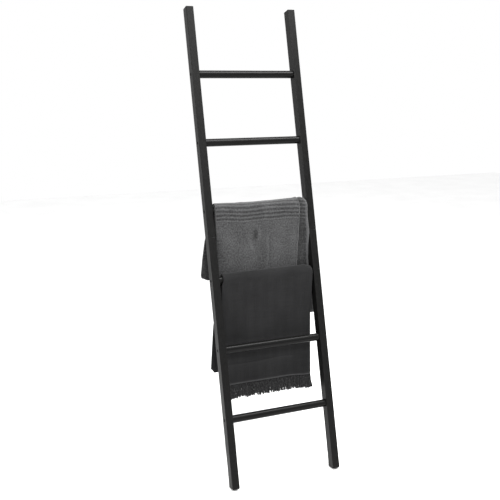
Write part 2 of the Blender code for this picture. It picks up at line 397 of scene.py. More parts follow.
def set_on(tree, points, shape, **how):
    """The shape on every point."""
    return node(
        tree, "GeometryNodeInstanceOnPoints", Points=points, Instance=shape, **how
    ).outputs[0]


def join(tree, shapes):
    """Several shapes as one."""
    made = node(tree, "GeometryNodeJoinGeometry")
    for shape in shapes:
        tree.links.new(shape, made.inputs[0])
    return made.outputs[0]


# %% Turn the rungs
RUNG_COUNT = 6
RUNG_SIDES = 64

rung_boxes = [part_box(f"rung_{number}") for number in range(1, RUNG_COUNT + 1)]
rung_middles = [(low + high) / 2 for low, high in rung_boxes]
rung_radius = (rung_boxes[0][1].z - rung_boxes[0][0].z) / 2
rung_step = (rung_middles[-1] - rung_middles[0]) / (RUNG_COUNT - 1)
rung_sizes = {
    "Count": RUNG_COUNT,
    "Radius": rung_radius,
    "Length": rung_boxes[0][1].x - rung_boxes[0][0].x,
    "First": rung_middles[0],
    "Step": rung_step,
    "Finish": rung_paint,
}

rung_tree, given, output = start_tree("rungs_on_rails", rung_sizes)
dowel = node(
    rung_tree,
    "GeometryNodeMeshCylinder",
    Vertices=RUNG_SIDES,
    Radius=given["Radius"],
    Depth=given["Length"],
).outputs["Mesh"]
dowel = move(rung_tree, dowel, Rotation=(0, math.radians(90), 0))
steps = points_in_row(rung_tree, given["Count"], given["First"], given["Step"])
finish_tree(rung_tree, set_on(rung_tree, steps, dowel), given["Finish"], output)

rungs = grow("rungs", rung_tree, rung_sizes)
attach(rungs, "ladder")
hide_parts(*(f"rung_{number}" for number in range(1, RUNG_COUNT + 1)))

# %% [markdown]
# ## Screws by rule
#
# Every rung end is held by a socket-head wood screw, sunk in the rail. One screw is built from a
# head with a six-sided hole, a shank and a point, and then it is set at every rung end, turned
# round for the left rail. The hole is cut with a Boolean inside the tree.

# %% Draw one screw
SCREW_SIDES = 20
KEY_SIDES = 6
SCREW_HEAD_HEIGHT = 0.0045
SHANK_SHARE = 0.54
KEY_SHARE = 0.43
KEY_DEPTH_SHARE = 0.55
POINT_SHARE = 0.13

screw_low, screw_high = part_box("rung_1_screw_right")
screw_sizes = {
    "Count": RUNG_COUNT,
    "Head Width": screw_high.z - screw_low.z,
    "Head Height": SCREW_HEAD_HEIGHT,
    "Length": screw_high.x - screw_low.x,
    "Reach": screw_high.x,
    "First": rung_middles[0],
    "Step": rung_step,
    "Finish": screw_steel,
}
screw_tree, given, output = start_tree("screws_in_rails", screw_sizes)


def times(value, factor):
    """A product on the screw's graph."""
    return calc(screw_tree, "MULTIPLY", value, factor)


def screw_stage(radius, far_radius, depth, foot, sides=SCREW_SIDES):
    """A round stage of the screw, which stands on a height along Z."""
    stage = node(
        screw_tree,
        "GeometryNodeMeshCone",
        Vertices=sides,
        Radius_Top=far_radius,
        Radius_Bottom=radius,
        Depth=depth,
    ).outputs["Mesh"]
    return move(screw_tree, stage, Translation=vector_of(screw_tree, z=foot))


# %% Cut and join the screw
length, head_height = given["Length"], given["Head Height"]
half_head = times(given["Head Width"], 0.5)
shank = times(half_head, SHANK_SHARE)
key = times(half_head, 2 * KEY_SHARE / math.sqrt(3))
key_deep = times(head_height, KEY_DEPTH_SHARE)
point_deep = times(length, POINT_SHARE)
shank_deep = calc(
    screw_tree, "SUBTRACT", length, calc(screw_tree, "ADD", head_height, point_deep)
)
shank_foot = times(calc(screw_tree, "ADD", head_height, shank_deep), -1.0)

# The screw's top is at height 0 and it points down, along -Z
head = screw_stage(half_head, half_head, head_height, times(head_height, -1.0))
key_hole = screw_stage(key, key, times(key_deep, 2.0), times(key_deep, -1.0), KEY_SIDES)
cut_head = node(screw_tree, "GeometryNodeMeshBoolean", {"operation": "DIFFERENCE"})
screw_tree.links.new(head, cut_head.inputs[0])
screw_tree.links.new(key_hole, cut_head.inputs[1])
shank_body = screw_stage(shank, shank, shank_deep, shank_foot)
point = screw_stage(0.0, shank, point_deep, times(length, -1.0))
whole_screw = join(screw_tree, [cut_head.outputs[0], shank_body, point])
print("screw", screw_sizes["Length"], "m long")

# %% Set the screws
steps = points_in_row(screw_tree, given["Count"], given["First"], given["Step"])
both_sides = []
for sign in (-1, 1):
    out = vector_of(screw_tree, x=times(given["Reach"], float(sign)))
    side_steps = move(screw_tree, steps, Translation=out)
    inwards = (0, math.radians(sign * 90), 0)
    both_sides.append(set_on(screw_tree, side_steps, whole_screw, Rotation=inwards))
finish_tree(screw_tree, join(screw_tree, both_sides), given["Finish"], output)

screws = grow("rung_screws", screw_tree, screw_sizes)
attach(screws, "ladder")
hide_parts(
    *(
        f"rung_{number}_screw_{side}"
        for number in range(1, RUNG_COUNT + 1)
        for side in ("left", "right")
    ),
)

# %% [markdown]
# ## How a folded cloth is built
#
# A towel on a rung isn't one slab. It is a thin sheet that is folded, laid over the rung and
# folded again, and the stack of plies at its edges is what the eye reads as cloth. Blender's
# cloth solver could drape it, but it would not keep the tidy folds. So the sheet is laid out in
# two steps. Across the cloth, a list of places says how the plies fold over each other,
# counted in ply pitches. Along the cloth, a list of stations says how the folded strip runs over
# its rung. Every point of the cloth is one place on one station.


# %% The plies, seen from the cloth's end
PLY_FILL = 0.88
FOLD_POINTS = 8


class Plies:
    """Places across a folded cloth: how far along its ply, how many pitches sideways and out."""

    def __init__(self):
        self.rows = []

    def ply(self, name, level, facing, shares):
        """A flat ply. Its shares run from the folded edge, 0, to the hem, 1, or back."""
        for share in shares:
            self.rows.append((share, 0.0, level, 0.0, facing, name))
        return self

    def fold(self, share, level, radius, begins, turns, facing):
        """A round fold about a level, from one angle in degrees through so many more."""
        for step in range(1, FOLD_POINTS):
            angle = math.radians(begins + turns * step / FOLD_POINTS)
            c, s = math.cos(angle), math.sin(angle)
            place = (share, radius * c, level + radius * s)
            self.rows.append((*place, facing * c, facing * s, "fold"))
        return self

    def closed(self):
        """The loop round the cloth's two faces, with a rounded hem at each end."""
        share, side, level, nx, nq, names = (np.array(column) for column in zip(*self.rows))
        half = PLY_FILL / 2
        loop = {}

        def both(first, second, hem_start, hem_end):
            return np.concatenate([first, [hem_end], second[::-1], [hem_start]])

        loop["share"] = both(share, share, share[0], share[-1])
        loop["side"] = both(side + half * nx, side - half * nx, half, half)
        loop["level"] = both(level + half * nq, level - half * nq, level[0], level[-1])
        loop["nx"] = both(nx, -nx, 1.0, 1.0)
        loop["nq"] = both(nq, -nq, 0.0, 0.0)
        loop["ply"] = both(names, names, names[0], names[-1])
        return loop


# %% Even places and soft steps
def spread(edges, steps):
    """Fractions from edge to edge, each stretch cut into equal steps."""
    parts = [np.linspace(a, b, n, endpoint=False) for a, b, n in zip(edges, edges[1:], steps)]
    return np.concatenate(parts + [[edges[-1]]])


def ease(value):
    """A smooth step from 0 to 1."""
    value = np.clip(value, 0.0, 1.0)
    return value * value * (3 - 2 * value)


def hump(value, middle, width):
    """A soft hump of height 1."""
    return np.exp(-(((value - middle) / width) ** 2))


def between(value, table):
    """Reads a table of {place: size}, on straight lines between its places."""
    return np.interp(value, list(table), list(table.values()))


# %% [markdown]
# ## The strip's way over its rung
#
# A station is a slice through the folded strip. It has a middle, a direction in which the plies
# stack up, and a rule for how far out each level lies. On the first pass the strip lies on the
# outside, at the bottom it turns, and on the second pass it lies against the rung.


# %% Stations along the strip
OUTER, TURN, INNER = 0, 1, 2


class Way:
    """Stations along a strip that goes over a rung, turns at the bottom and comes back inside.

    The turn's centre lies so many pitches out from the rung, and the strip's middle lies
    half_turn pitches further out on the first pass and further in on the second."""

    def __init__(self, middle, radius, turn_centre, half_turn):
        self.middle, self.radius = middle, radius
        self.turn_centre, self.half_turn = turn_centre, half_turn
        self.rows = []

    def hang(self, side, first_z, last_z, count, kind, ends=False):
        """Straight down or up, in front of the rung or behind it."""
        angle = 0.0 if side == "rear" else math.pi
        for z in np.linspace(first_z, last_z, count, endpoint=ends):
            self.rows.append((kind, angle, z, side == "rear", True))
        return self

    def over(self, first, last, count, kind):
        """Round the rung, with angles in degrees from its rear over its top to its front."""
        for angle in np.radians(np.linspace(first, last, count, endpoint=False)):
            self.rows.append((kind, angle, self.middle.z, angle < math.pi / 2, False))
        return self

    def turn(self, side, z, count):
        """Round the bottom fold."""
        first, way = (0.0, -1) if side == "rear" else (math.pi, 1)
        for step in range(count):
            self.rows.append((TURN, first + way * math.pi * step / count, z, side == "rear", False))
        return self

    def columns(self):
        """Kind, angle, height, behind and hanging, each one number for every station."""
        kind, angle, z, rear, hanging = (np.array(column)[:, None] for column in zip(*self.rows))
        return kind, angle, z, rear.astype(bool), hanging.astype(bool)


# %% Lay the strip on its way
def ply_pitch(way, x, pressed, front, rear):
    """How far apart plies lie, in front, behind, and pressed together on top of the rung."""
    kind, angle, _, behind, _ = way.columns()
    on_top = np.where(kind == TURN, 0.0, ease(1 - np.abs(angle - math.pi / 2) / (math.pi / 2)))
    loose = np.where(behind, rear, front)
    return loose + on_top * (between(x, pressed) - loose)


def lay(way, loop, pitch, edges, sway, lift=None):
    """The place of every loop point on every station, in metres.

    pitch says how far apart plies lie, edges where a ply starts and ends, sway how far the strip
    hangs from straight, and lift how far the surface stands off its ply."""
    kind, angle, z, rear, hanging = way.columns()
    start, end = edges(way, loop)
    x = start + loop["share"] * (end - start)
    step = pitch(way, x)
    x = x + loop["side"] * step
    level = loop["level"] * step
    if lift is not None:
        stand = lift(x)
        level = level + loop["nq"] * stand
        x = x + loop["nx"] * stand
    outer = way.radius + (way.turn_centre + way.half_turn) * step + level
    inner = way.radius + (way.turn_centre - way.half_turn) * step - level
    bend = way.half_turn * step + level
    reach = np.where(kind == OUTER, outer, np.where(kind == INNER, inner, bend))
    out = np.where(rear, 1.0, -1.0)
    turn_y = out * (way.radius + way.turn_centre * step)
    y = way.middle.y + reach * np.cos(angle) + np.where(kind == TURN, turn_y, 0.0)
    height = z + np.where(hanging, 0.0, reach * np.sin(angle))
    side, drop = sway(way, x)
    return np.stack([x + 0 * y, y + side, height + drop], axis=2)


def run_of(places, axis):
    """How far each place is along the cloth, axis 0, or across it, axis 1, in metres."""
    steps = np.linalg.norm(np.diff(places, axis=axis), axis=2).mean(axis=1 - axis)
    return np.concatenate([[0], np.cumsum(steps)])


# %% Close the strip into a cloth
def close_cloth(name, places, finish, painted_light):
    """A closed mesh from loops of places, with a map of the flat cloth in metres.

    painted_light is painted light and shade for every point: towards 1 a painted highlight, towards
    0 painted shade."""
    stations, around, _ = places.shape
    middle = (around - 2) // 2
    across = run_of(places[:, :middle], 1)
    u = np.concatenate([across, [across[-1]], across[::-1], [0.0]])
    v = run_of(places[:, :middle], 0)
    faces = []
    for i in range(stations - 1):
        a, b = i * around, (i + 1) * around
        faces += [(a + j, a + (j + 1) % around, b + (j + 1) % around, b + j) for j in range(around)]
    for row in (0, stations - 1):
        ring = [row * around + j for j in range(around)]
        for j in range(middle - 1):
            faces.append((ring[j], ring[j + 1], ring[2 * middle - 1 - j], ring[2 * middle - j]))
        faces.append((ring[middle - 1], ring[middle], ring[middle + 1]))
        faces.append((ring[0], ring[2 * middle], ring[2 * middle + 1]))
    mesh = bpy.data.meshes.new(name)
    mesh.from_pydata(places.reshape(-1, 3).tolist(), [], faces)
    cloth_map = mesh.uv_layers.new(name=CLOTH_MAP)
    corner = np.empty(len(mesh.loops), np.int32)
    mesh.loops.foreach_get("vertex_index", corner)
    uv = np.stack([u[corner % around], v[corner // around]], axis=1)
    cloth_map.data.foreach_set("uv", uv.astype(np.float32).ravel())
    # Painted light and shade, kept on every point for the materials
    painted_light_values = np.broadcast_to(painted_light, (stations, around)).astype(np.float32)
    mesh.attributes.new(PAINTED_LIGHT_NAME, "FLOAT", "POINT").data.foreach_set("value", painted_light_values.ravel())
    work = bmesh.new()
    work.from_mesh(mesh)
    bmesh.ops.recalc_face_normals(work, faces=work.faces)
    work.to_mesh(mesh)
    work.free()
    mesh.polygons.foreach_set("use_smooth", [True] * len(mesh.polygons))
    mesh.materials.append(finish)
    piece = bpy.data.objects.new(name, mesh)
    scene.collection.objects.link(piece)
    print(f"{name}: {u.max():.3f} x {v.max():.3f} m of cloth, {2 * len(mesh.polygons)} triangles")
    return piece


# %% Made-up unevenness
RIPPLE_WAVES = 9


def ripple(x, y, seed, size):
    """Smooth made-up unevenness from a few crossed waves, the same on every run."""
    draw = np.random.default_rng(seed)
    total = 0.0
    for _ in range(RIPPLE_WAVES):
        heading, phase = draw.uniform(0, math.tau, 2)
        wave = size * draw.uniform(0.6, 1.7)
        distance = x * math.cos(heading) + y * math.sin(heading)
        total = total + np.sin(distance * math.tau / wave + phase)
    return total / (RIPPLE_WAVES / 2)


# %% [markdown]
# ## The bath towel
#
# The towel is a terry bath towel with a woven border of raised ribs near each end. It is folded
# in half lengthwise, so its fold is on the left and its two hems are on the right, the front one
# set back. The strip starts a little below the rung behind it, goes over it, hangs in front,
# turns back up at the bottom and goes over the rung again to hang behind. That is four plies in
# front, and two behind once the first few centimetres are passed.

# %% Fold the towel
TOWEL_RUNG = 4
TOWEL_START_BELOW = 0.050
TOWEL_FRONT_PITCH = 0.0063
TOWEL_REAR_PITCH = 0.0047

# Heights where the stations change their spacing
UNDER_RIBS = 0.955
BEHIND_THROW = 0.78
BACK_RIBS = (0.912, 0.822)
BACK_END_ABOVE = 0.172

towel_middle = rung_middles[TOWEL_RUNG - 1]
top_z = towel_middle.z
towel_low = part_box("towel")[0]
towel_turn = towel_low.z + (1 + 0.5 + PLY_FILL / 2) * TOWEL_FRONT_PITCH

towel_plies = Plies()
towel_plies.ply("outer", 0.5, 1.0, spread([1.0, 0.96, 0.0], [6, 76]))
towel_plies.fold(0.0, 0.0, 0.5, 90, 180, 1.0)
towel_plies.ply("inner", -0.5, -1.0, spread([0.0, 0.86, 0.975, 1.0], [42, 10, 6]))
towel_loop = towel_plies.closed()

towel_way = Way(towel_middle, rung_radius, 2.0, 1.0)
towel_way.hang("rear", top_z - TOWEL_START_BELOW, top_z, 7, OUTER).over(0, 90, 9, OUTER)
towel_way.over(90, 180, 28, OUTER).hang("front", top_z, UNDER_RIBS, 23, OUTER)
towel_way.hang("front", UNDER_RIBS, BEHIND_THROW, 42, OUTER)
towel_way.hang("front", BEHIND_THROW, towel_turn, 18, OUTER)
towel_way.turn("front", towel_turn, 10).hang("front", towel_turn, top_z, 22, INNER)
towel_way.over(180, 0, 20, INNER).hang("rear", top_z, BACK_RIBS[0], 12, INNER)
towel_way.hang("rear", *BACK_RIBS, 44, INNER)
towel_way.hang("rear", BACK_RIBS[1], towel_low.z + BACK_END_ABOVE, 15, INNER, True)
print(len(towel_way.rows), "stations of", len(towel_loop["share"]), "points")

# %% Hang the towel
TOWEL_HEM_SETBACK = 0.038
THROW_TOP = 0.785

# The pitch at places across the towel, and the fold and the hems at heights
TOWEL_PRESSED = {
    -0.188: 0.0038, -0.100: 0.0033, -0.020: 0.0033, 0.044: 0.0036, 0.129: 0.0045,
    0.149: 0.0048, 0.162: 0.0064, 0.172: 0.0068, 0.182: 0.0052, 0.190: 0.0018,
}
FOLD_BEHIND = {
    0.731: -0.230, 0.740: -0.234, 0.811: -0.227, 0.880: -0.216, 0.970: -0.194, 1.0: -0.1865,
}
FOLD_IN_FRONT = {0.56: -0.192, 0.70: -0.189, 0.80: -0.1875, 1.0: -0.1865}
HEM_BEHIND = {0.731: 0.217, 0.80: 0.215, 0.90: 0.204, 1.0: 0.187}
HEM_IN_FRONT = {
    0.56: 0.226, 0.60: 0.224, 0.66: 0.217, 0.70: 0.210,
    0.76: 0.1985, 0.85: 0.1905, 0.924: 0.1880, 1.0: 0.1868,
}
SET_BACK_IN_FRONT = {
    0.56: 0.082, 0.70: 0.066, 0.793: 0.0535, 0.868: 0.0440, 0.927: 0.0395, 1.015: 0.0355,
}


def towel_pitch(way, x):
    """Plies are pressed together on top of the rung and hang looser in front of it."""
    return ply_pitch(way, x, TOWEL_PRESSED, TOWEL_FRONT_PITCH, TOWEL_REAR_PITCH)


def towel_edges(way, loop):
    """Where the fold is, and where each ply's hem is. The cloth flares where it hangs free."""
    _, _, z, rear, _ = way.columns()
    fold = np.where(rear, between(z, FOLD_BEHIND), between(z, FOLD_IN_FRONT))
    hem = np.where(rear, between(z, HEM_BEHIND), between(z, HEM_IN_FRONT))
    set_back = np.where(rear, TOWEL_HEM_SETBACK, between(z, SET_BACK_IN_FRONT))
    start = fold + (0.5 + PLY_FILL / 2) * TOWEL_REAR_PITCH
    return start, np.where(loop["ply"] == "outer", hem - set_back, hem)


def towel_sway(way, x):
    """The front swells a little above the throw, and the rear hangs in soft waves."""
    _, _, z, rear, hanging = way.columns()
    free = hanging * ease((top_z - z) / 0.12)
    front = free * ease((z - THROW_TOP) / 0.05)
    swell = -0.0006 * hump(z, 0.90, 0.07) - 0.0004 * ripple(x, z, 3, 0.16)
    swell = swell - 0.017 * ease((x - 0.163) / 0.027) * hump(z, 0.915, 0.065)
    waves = 0.005 * free * (1 + np.sin(x * 34 + 0.6) * ease((top_z - z) / 0.25))
    corner = 0.011 * ease((-0.203 - x) / 0.028) - 0.002 * np.sin(x * 21)
    hem = np.where(rear & hanging, corner * ease((0.80 - z) / 0.07), 0.0)
    return np.where(rear, waves, front * swell), hem


towel_flat_places = lay(towel_way, towel_loop, towel_pitch, towel_edges, towel_sway)

# %% Shape the towel's ribs and dents
RIB_COUNT = 7
RIB_PITCH = 0.0143
LOWEST_RIB = 0.9645
RIB_WAVE = {
    -0.157: -0.0035, -0.085: 0.0036, 0.02: 0.0, 0.105: 0.0003, 0.150: 0.0035, 0.178: 0.0085,
}

towel_kind, _, towel_z, towel_rear, towel_hangs = towel_way.columns()
in_front = (towel_kind == OUTER) & towel_hangs & ~towel_rear
towel_run = run_of(towel_flat_places, 0)[:, None]
lowest_rib_run = np.interp(-LOWEST_RIB, -towel_z[in_front], towel_run[in_front])
print("lowest rib", lowest_rib_run, "m from the hem")


def towel_ribs(x):
    """The woven border near each end: raised ribs with a flat ground between them."""
    run = towel_run + 0 * x
    from_end = np.minimum(run, towel_run[-1] - run)
    wave = between(x, RIB_WAVE) + 0.0009 * ripple(x, run, 5, 0.05)
    down = (lowest_rib_run + wave - from_end) / RIB_PITCH
    inside = ease((down + 0.5) / 0.3) * ease((RIB_COUNT - 0.5 - down) / 0.3)
    return inside * (0.5 + 0.5 * np.cos(down * math.tau)) ** 1.3, inside


def towel_dents(x, z):
    """The hollow, its curved rim, the slanting rucks and the long crease in the front ply."""
    hollow = -0.0040 * hump(x, -0.0340, 0.012) * hump(z, 0.9065, 0.022)
    rim_x = -0.0165 - 14.0 * (z - 0.9080) ** 2
    rim = 0.0026 * hump(x, rim_x, 0.0050) * hump(z, 0.9080, 0.026)
    ruck_x = -0.0575 + (0.885 - z) * 0.24
    ruck = 0.0024 * hump(x, ruck_x, 0.0075) * hump(z, 0.862, 0.024)
    ruck = ruck + 0.0016 * hump(x, -0.0400, 0.0065) * hump(z, 0.815, 0.014)
    crease = 0.0014 * hump(x, 0.0165, 0.0060) - 0.0009 * hump(x, 0.0260, 0.0070)
    return hollow + rim + ruck + crease * ease((0.925 - z) / 0.03)


# %% Raise the towel's pile
RIB_HEIGHT = 0.0010
PILE_HEIGHT = 0.0004
TUFT_HEIGHT = 0.00022
# How strongly the dents' height is painted as shade and light
DENT_PAINTED_SHADE = 150.0

faces_out = (towel_kind == OUTER) & (towel_loop["nq"] > 0.5)
shown_front = faces_out & (towel_loop["ply"] == "outer")
shown_flap = faces_out & (towel_loop["ply"] == "inner")
faces_back = (towel_kind == INNER) & towel_rear & (towel_loop["nq"] < -0.5)
shown_back = faces_back & (towel_loop["ply"] == "inner")


def towel_lift(x):
    """How far the towel's surface stands off its plies."""
    run, height, share = towel_run + 0 * x, towel_z + 0 * x, towel_loop["share"]
    ribs, border = towel_ribs(x)
    tufts = TUFT_HEIGHT * (ripple(x, run, 11, 0.009) + ripple(x, run, 12, 0.014))
    soft = 0.0007 * ripple(x, run, 13, 0.055)
    free = ease((height - THROW_TOP) / 0.03)
    pile = (1 - border) * (tufts + PILE_HEIGHT + free * soft)
    stand = (shown_front | shown_flap | shown_back) * (RIB_HEIGHT * ribs + pile)
    stand = stand + (shown_front & in_front) * free * towel_dents(x, height)
    rim = 0.0022 * ease((share - 0.978) / 0.012) * shown_flap
    hem = 0.0011 * ease((share - 0.980) / 0.012) * shown_front
    return stand + rim + hem


def towel_painted_light(x):
    """Painted light and shade on the towel: lighter rib tops with painted shade between them,
    painted shade in the dents' hollows and light on their rims, painted shade near the left rail,
    on the flap below the throw and on the back, and a painted highlight on the flap's rim.
    """
    ribs, border = towel_ribs(x)
    # Painted shade in the ground between the ribs, lighter rib tops
    painted_light = 0.5 + border * (0.80 * ribs - 0.46)
    # Painted shade in the dents' hollows and painted light on their rims
    painted_light = painted_light + DENT_PAINTED_SHADE * (shown_front & in_front) * towel_dents(x, towel_z + 0 * x)
    # Painted shade on the front next to the left rail
    painted_light = painted_light - 0.12 * shown_front * ease((-0.155 - x) / 0.03)
    # A painted highlight on the flap's hem rim, a lighter painted band, and painted shade on the
    # flap, deepest below the throw's top
    rim = ease((towel_loop["share"] - 0.972) / 0.012)
    flap_painted_band = 0.16 * hump(x, 0.170, 0.006)
    shaded = 0.45 + 0.50 * ease((0.80 - towel_z) / 0.06)
    flap_painted_light = (shown_flap & ~towel_rear) * (0.70 * rim + (1 - rim) * (flap_painted_band - shaded))
    # Painted shade on the towel's back
    return painted_light + flap_painted_light - 0.42 * (towel_rear & (towel_kind != TURN))


towel_places = lay(towel_way, towel_loop, towel_pitch, towel_edges, towel_sway, towel_lift)

# %% [markdown]
# ## Terry cloth
#
# Terry is a weave of small standing loops. Close up each loop is a soft dot, and from a step away
# the loops lean in clumps that read as a speckle. The dots are a fine cell pattern in the bump,
# and the clumps are a coarser noise in both bump and colour. An attribute on the mesh carries
# painted light and shade: painted shade in the ground between the ribs, in the dents, on the
# flap and on the back, and painted light on the rib tops, the dents' rims and the flap's rim.
# The patterns read the flat cloth's own map, so they follow every fold.

# %% Mix the terry
TERRY_DARK = (0.0034, 0.0034, 0.0036)
TERRY_LIGHT = (0.0450, 0.0452, 0.0462)
LOOPS_PER_METRE = 640
TERRY_PAINTED_LIGHT = 0.42

terry, tree, shader = start_material(
    "terry", Roughness=0.96, Specular_IOR_Level=0.15, Sheen_Weight=0.16, Sheen_Roughness=0.6
)
loops = node(
    tree,
    "ShaderNodeTexVoronoi",
    Vector=cloth_place(tree, (LOOPS_PER_METRE,) * 3),
    Scale=1.0,
    Randomness=0.8,
).outputs["Distance"]
clumps = noise(tree, cloth_place(tree, (190, 150, 1)), 1.0, 3.0, 0.6)
drift = noise(tree, cloth_place(tree, (16, 11, 1)), 1.0, 2.0)
tone = calc(tree, "MULTIPLY_ADD", drift, 0.30, clumps)
# The mesh's painted light and shade lightens or darkens the tone
tone = with_painted_light(tree, calc(tree, "MULTIPLY_ADD", loops, -0.22, tone), TERRY_PAINTED_LIGHT)
colour = ramp(tree, tone, [(0.28, TERRY_DARK), (0.76, TERRY_LIGHT)])
tree.links.new(colour, shader.inputs["Base Color"])
pile = calc(tree, "MULTIPLY_ADD", loops, -0.55, clumps)
tree.links.new(bump(tree, pile, 0.0016, 0.8), shader.inputs["Normal"])
print("mixed", terry.name)

# %% Make the towel
towel = close_cloth("bath_towel", towel_places, terry, towel_painted_light(towel_flat_places[:, :, 0]))
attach(towel, "towel")
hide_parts("towel")

# %% [markdown]
# ## The throw
#
# The throw is a plain-woven blanket. It is folded in four lengthwise and then once across, so the
# cross fold hangs behind the rung and both fringed ends hang together in front. That is eight
# thin plies. The same two helpers lay it out: the list of plies is longer, and the strip starts
# at its front hem, goes over the rung, turns at the bottom behind and comes back inside.

# %% Fold the throw
THROW_RUNG = 3
THROW_FRONT_PITCH = 0.00101
THROW_REAR_PITCH = 0.00104
THROW_REAR_BOTTOM = 0.378

# Heights in front where the stations change their spacing: the hem line and the wrinkle
HEM_LINE_TOP = 0.345
WRINKLE_HEIGHTS = (0.395, 0.435)

throw_middle = rung_middles[THROW_RUNG - 1]
throw_z_top = throw_middle.z
throw_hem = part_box("throw")[0].z + 0.003
throw_turn = THROW_REAR_BOTTOM + (2 + 1.5 + PLY_FILL / 2) * THROW_REAR_PITCH
coarse = np.linspace(0, 1, 24)

throw_plies = Plies()
throw_plies.ply("first", 1.5, 1.0, spread([1.0, 0.97, 0.0], [4, 62]))
throw_plies.fold(0.0, 0.0, 1.5, 90, 180, 1.0)
throw_plies.ply("fourth", -1.5, -1.0, coarse)
throw_plies.fold(1.0, -1.0, 0.5, 270, 180, 1.0)
throw_plies.ply("third", -0.5, 1.0, coarse[::-1])
throw_plies.fold(0.0, 0.0, 0.5, 270, -180, -1.0)
throw_plies.ply("second", 0.5, -1.0, coarse)
throw_loop = throw_plies.closed()

throw_way = Way(throw_middle, rung_radius, 4.0, 2.0)
throw_way.hang("front", throw_hem, HEM_LINE_TOP, 8, OUTER)
throw_way.hang("front", HEM_LINE_TOP, WRINKLE_HEIGHTS[0], 8, OUTER)
throw_way.hang("front", *WRINKLE_HEIGHTS, 22, OUTER)
throw_way.hang("front", WRINKLE_HEIGHTS[1], throw_z_top, 36, OUTER)
throw_way.over(180, 0, 24, OUTER).hang("rear", throw_z_top, throw_turn, 26, OUTER)
throw_way.turn("rear", throw_turn, 8).hang("rear", throw_turn, throw_z_top, 20, INNER)
throw_way.over(0, 180, 32, INNER).hang("front", throw_z_top, throw_hem, 26, INNER, True)
print(len(throw_way.rows), "stations of", len(throw_loop["share"]), "points")

# %% Hang the throw
THROW_LEFT = -0.189
HEM_DROP = -0.0071
HEM_DROPS_FROM = 0.09
HEM_DROPS_OVER = 0.10

# The pitch at places across the throw, and its left and right edges at heights
THROW_PRESSED = {
    -0.188: 0.00118, -0.107: 0.00151, 0.0: 0.00149, 0.10: 0.00171, 0.165: 0.0018, 0.187: 0.0009,
}
LEFT_BEHIND = {0.378: -0.205, 0.393: -0.222, 0.561: -0.211, 0.735: -0.189, 0.750: -0.179}
LEFT_IN_FRONT = {0.690: THROW_LEFT, 0.735: -0.186, 0.750: -0.179}
RIGHT_BEHIND = {0.378: 0.195, 0.750: 0.1885}
RIGHT_IN_FRONT = {0.339: 0.1860, 0.454: 0.1830, 0.585: 0.1805, 0.678: 0.1855, 0.768: 0.1875}


def throw_pitch(way, x):
    """The plies hang flat and bunch a little where they bend over the rung."""
    return ply_pitch(way, x, THROW_PRESSED, THROW_FRONT_PITCH, THROW_REAR_PITCH)


def throw_edges(way, loop):
    """The folds are on the left, and the two hems and the middle fold on the right."""
    _, _, z, rear, _ = way.columns()
    left = np.where(rear, between(z, LEFT_BEHIND), between(z, LEFT_IN_FRONT))
    right = np.where(rear, between(z, RIGHT_BEHIND), between(z, RIGHT_IN_FRONT))
    right_fold = (loop["ply"] == "fold") & (loop["share"] == 1.0)
    tucked = np.isin(loop["ply"], ["third", "fourth"]) | right_fold
    start = left + (1.5 + PLY_FILL / 2) * THROW_REAR_PITCH
    return start, right - THROW_REAR_PITCH * np.where(tucked, 1.0, PLY_FILL / 2)


def throw_sway(way, x):
    """Faint standing waves, and a front hem that hangs lower at its right end."""
    _, _, z, rear, hanging = way.columns()
    free = hanging * ease((throw_z_top - z) / 0.22)
    front = -0.0008 * free * (1 + np.sin(x * 41 + 0.9 + 3 * z))
    behind = -0.0022 * free * (1 + np.sin(x * 29 + 1.7))
    drop = HEM_DROP * ease((x - HEM_DROPS_FROM) / HEM_DROPS_OVER)
    drop = drop * ease((0.43 - z) / 0.09) * (hanging & ~rear)
    return np.where(rear, behind, front), drop


throw_flat_places = lay(throw_way, throw_loop, throw_pitch, throw_edges, throw_sway)

# %% Shape the throw's wrinkle and its hem line
WRINKLE = {-0.161: 0.419, -0.088: 0.418, -0.007: 0.422, 0.060: 0.425, 0.093: 0.422}

throw_kind, _, throw_z, throw_rear, throw_hangs = throw_way.columns()
throw_shown = (throw_kind == OUTER) & throw_hangs & ~throw_rear
throw_shown = throw_shown & (throw_loop["ply"] == "first") & (throw_loop["nq"] > 0.5)


def throw_features(x):
    """The soft wrinkle below the second rung, and the thick woven line above the fringe."""
    below = between(x, WRINKLE) - throw_z
    strength = throw_shown * ease((0.135 - x) / 0.05)
    step = strength * ease(below / 0.005 + 0.5) * np.exp(-np.maximum(below, 0) / 0.022)
    groove = strength * hump(below, 0.0, 0.0022)
    selvedge = throw_shown * hump(throw_z, throw_hem + 0.0036, 0.0034)
    return step, groove, selvedge


def throw_lift(x):
    """How far the throw's surface stands off its first ply."""
    step, groove, selvedge = throw_features(x)
    soft = 0.0003 * ripple(x, throw_z + 0 * x, 21, 0.050)
    return throw_shown * soft + 0.0013 * step - 0.0005 * groove + 0.0008 * selvedge


def throw_painted_light(x):
    """Painted light and shade on the throw: a painted highlight on the wrinkle's step, painted
    shade in its groove, a lighter hem line and faint bands.
    """
    step, groove, selvedge = throw_features(x)
    bands = 0.05 * throw_shown * np.sin(x * 150)
    # Painted highlight on the wrinkle's step, painted shade in its groove, a lighter hem line and
    # faint bands
    return 0.5 + 0.38 * step - 0.30 * groove + 1.20 * selvedge + bands


throw_places = lay(throw_way, throw_loop, throw_pitch, throw_edges, throw_sway, throw_lift)

# %% [markdown]
# ## Plain weave
#
# Plain weave goes over one thread and under the next, so its surface is a fine chequer of small
# humps. Two crossed waves on the cloth's own map give them. Real yarn is never even: some threads
# are thicker and lighter for a hand's length. Two stretched noises, one for each direction of
# thread, give those slubs. An attribute on the mesh paints a highlight on the wrinkle's step and
# shade in its groove, and makes the hem line lighter.

